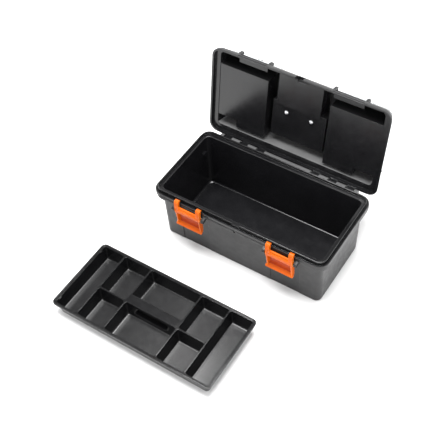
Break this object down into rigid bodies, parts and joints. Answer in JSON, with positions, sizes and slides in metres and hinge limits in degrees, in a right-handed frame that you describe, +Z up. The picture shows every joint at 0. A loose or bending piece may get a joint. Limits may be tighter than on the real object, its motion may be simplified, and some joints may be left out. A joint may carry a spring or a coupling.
{
  "type": "carpenter toolbox",
  "caption": "Plastic carpenter's toolbox with a hinged organiser lid standing open, rocker latches, a folding carry handle and a lift-out divided tray.",
  "frame": {"origin": "centre of the tub's underside, which stands on the floor", "axes": "+X along the front from left to right, +Y from the latches to the hinges, +Z up"},
  "size_m": [0.4695, 0.5902, 0.3399],
  "materials": {
    "black_polypropylene": "fine moulded grain",
    "tray_polypropylene": "satin moulded",
    "orange_polypropylene": "satin gloss",
    "black_nylon": "fine grain",
    "soft_grip": "matt",
    "clear_cover": "clear, polished",
    "zinc_steel": "zinc plated"
  },
  "bodies": {
    "box": {"tub_shell": "black_polypropylene", "hinge_pin_left": "zinc_steel", "hinge_pin_right": "zinc_steel", "latch_pin_left": "black_nylon", "latch_pin_right": "black_nylon"},
    "lid": {"lid_shell": "black_polypropylene", "handle_bracket": "black_nylon", "handle_screw_left": "zinc_steel", "handle_screw_right": "zinc_steel", "organiser_divider_left_1": "black_nylon", "organiser_divider_left_2": "black_nylon", "organiser_divider_right_1": "black_nylon", "organiser_divider_right_2": "black_nylon", "cover_pin_left": "zinc_steel", "cover_pin_right": "zinc_steel"},
    "handle": {"handle_frame": "black_nylon", "handle_grip": "soft_grip"},
    "cover_left": {"organiser_cover_left": "clear_cover"},
    "cover_right": {"organiser_cover_right": "clear_cover"},
    "latch_left_body": {"latch_left": "orange_polypropylene"},
    "latch_right_body": {"latch_right": "orange_polypropylene"},
    "lift_out_tray": {"tray": "tray_polypropylene"}
  },
  "joints": [
    {"name": "lid_hinge", "type": "hinge", "parent": "box", "child": "lid", "pos_m": [0, 0.107, 0.1325], "axis": [1, 0, 0], "range_deg": [0, 99]},
    {"name": "handle_hinge", "type": "hinge", "parent": "lid", "child": "handle", "pos_m": [0, 0.16254, 0.21786], "axis": [-1, 0, 0], "range_deg": [0, 90]},
    {"name": "cover_left_hinge", "type": "hinge", "parent": "lid", "child": "cover_left", "pos_m": [-0.128, 0.17723, 0.14061], "axis": [-1, 0, 0], "range_deg": [0, 110]},
    {"name": "cover_right_hinge", "type": "hinge", "parent": "lid", "child": "cover_right", "pos_m": [0.128, 0.17723, 0.14061], "axis": [-1, 0, 0], "range_deg": [0, 110]},
    {"name": "latch_left_pivot", "type": "hinge", "parent": "box", "child": "latch_left_body", "pos_m": [-0.108, -0.109, 0.124], "axis": [1, 0, 0], "range_deg": [0, 13]},
    {"name": "latch_right_pivot", "type": "hinge", "parent": "box", "child": "latch_right_body", "pos_m": [0.108, -0.109, 0.124], "axis": [1, 0, 0], "range_deg": [0, 13]},
    {"name": "tray_lift", "type": "slide", "parent": "box", "child": "lift_out_tray", "axis": [0, 0, 1], "range_m": [0, 0.15]}
  ]
}
